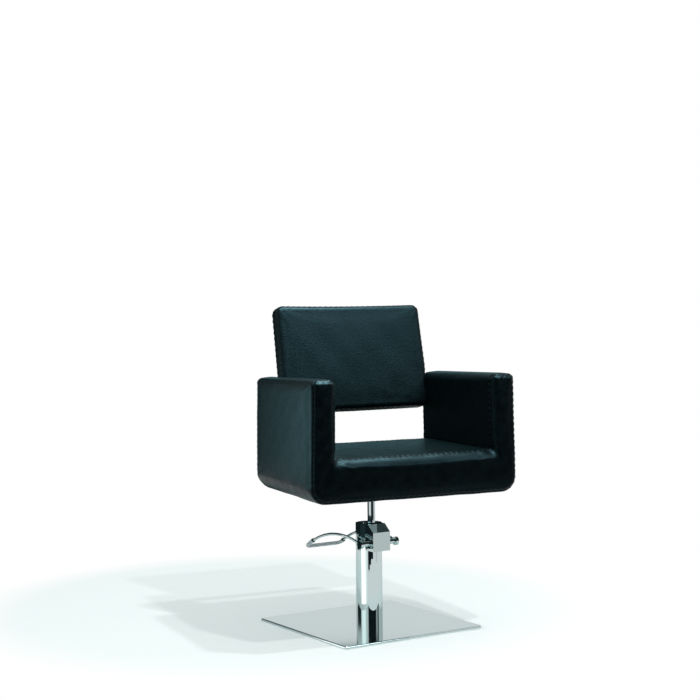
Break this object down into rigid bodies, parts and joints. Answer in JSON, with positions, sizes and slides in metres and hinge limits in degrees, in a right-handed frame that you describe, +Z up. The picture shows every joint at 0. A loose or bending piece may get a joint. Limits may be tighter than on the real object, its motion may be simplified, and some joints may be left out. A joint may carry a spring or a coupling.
{
  "type": "hairdressing chair",
  "caption": "Hairdressing chair: black leatherette U-shaped shell and reclined back pad on a foot-pumped chrome column with a square stainless base plate.",
  "frame": {"origin": "on the floor, at the foot of the piston rod's axis, which the seat lifts along and turns about", "axes": "+X the sitter's left, +Y towards the rear, +Z up; the seat and back are square to X and Y, and the base, pump and pedal are turned 8.7 degrees about Z under them, as in the picture"},
  "size_m": [0.619, 0.5679, 0.9197],
  "materials": {
    "black_leatherette": "fine-grained black leatherette",
    "chrome": "polished chrome",
    "brushed_stainless": "fine brushed, half polished",
    "plain_steel": "machined, plain",
    "plywood": "birch plywood",
    "rubber": "matt",
    "bronze": "turned",
    "grip_sleeve": "smooth grey plastic sleeve"
  },
  "bodies": {
    "base": {"floor_mat": "rubber", "base_plate": "plain_steel", "base_cover": "brushed_stainless", "foot_bolts": "plain_steel", "pump_foot": "plain_steel", "column_tube": "chrome", "pump_cylinder": "plain_steel", "pump_head": "chrome", "linkage_housing": "chrome", "filler_plug": "plain_steel", "rod_bush": "bronze", "rod_wiper": "rubber", "shaft_bushes": "chrome", "return_spring": "plain_steel"},
    "piston_unit": {"piston": "plain_steel", "piston_seal": "rubber"},
    "chair": {"piston_rod": "chrome", "rod_retainer": "plain_steel", "seat_socket": "plain_steel", "socket_bolts": "plain_steel", "bottom_board": "plywood", "side_board_left": "plywood", "side_board_right": "plywood", "frame_screws": "plain_steel", "shell_upholstery": "black_leatherette", "back_upholstery": "black_leatherette", "back_board": "plywood", "back_studs": "plain_steel", "back_spacers": "chrome"},
    "pedal": {"pedal_shaft": "chrome", "pedal_hubs": "chrome", "hub_screws": "plain_steel", "pedal_cam": "plain_steel", "pedal_loop": "chrome", "pedal_grip": "grip_sleeve", "grip_collars": "chrome"},
    "plunger": {"pump_plunger": "plain_steel"}
  },
  "joints": [
    {"name": "lift", "type": "slide", "parent": "base", "child": "piston_unit", "axis": [0, 0, 1], "range_m": [-0.09, 0.05]},
    {"name": "swivel", "type": "hinge", "parent": "piston_unit", "child": "chair", "pos_m": [0, 0, 0.35], "axis": [0, 0, 1], "continuous": true},
    {"name": "pedal_press", "type": "hinge", "parent": "base", "child": "pedal", "pos_m": [0.00514, -0.03361, 0.245], "axis": [-0.9885, -0.1513, 0], "range_deg": [0, 25], "stiffness_Nm_per_rad": 2.5, "springref_deg": -28.65},
    {"name": "plunger_stroke", "type": "slide", "parent": "base", "child": "plunger", "axis": [-0.1513, 0.9885, 0], "range_m": [0, 0.0085]}
  ],
  "couplings": [
    {"joint": "plunger_stroke", "follows": "pedal_press", "m_per_rad": 0.018}
  ]
}
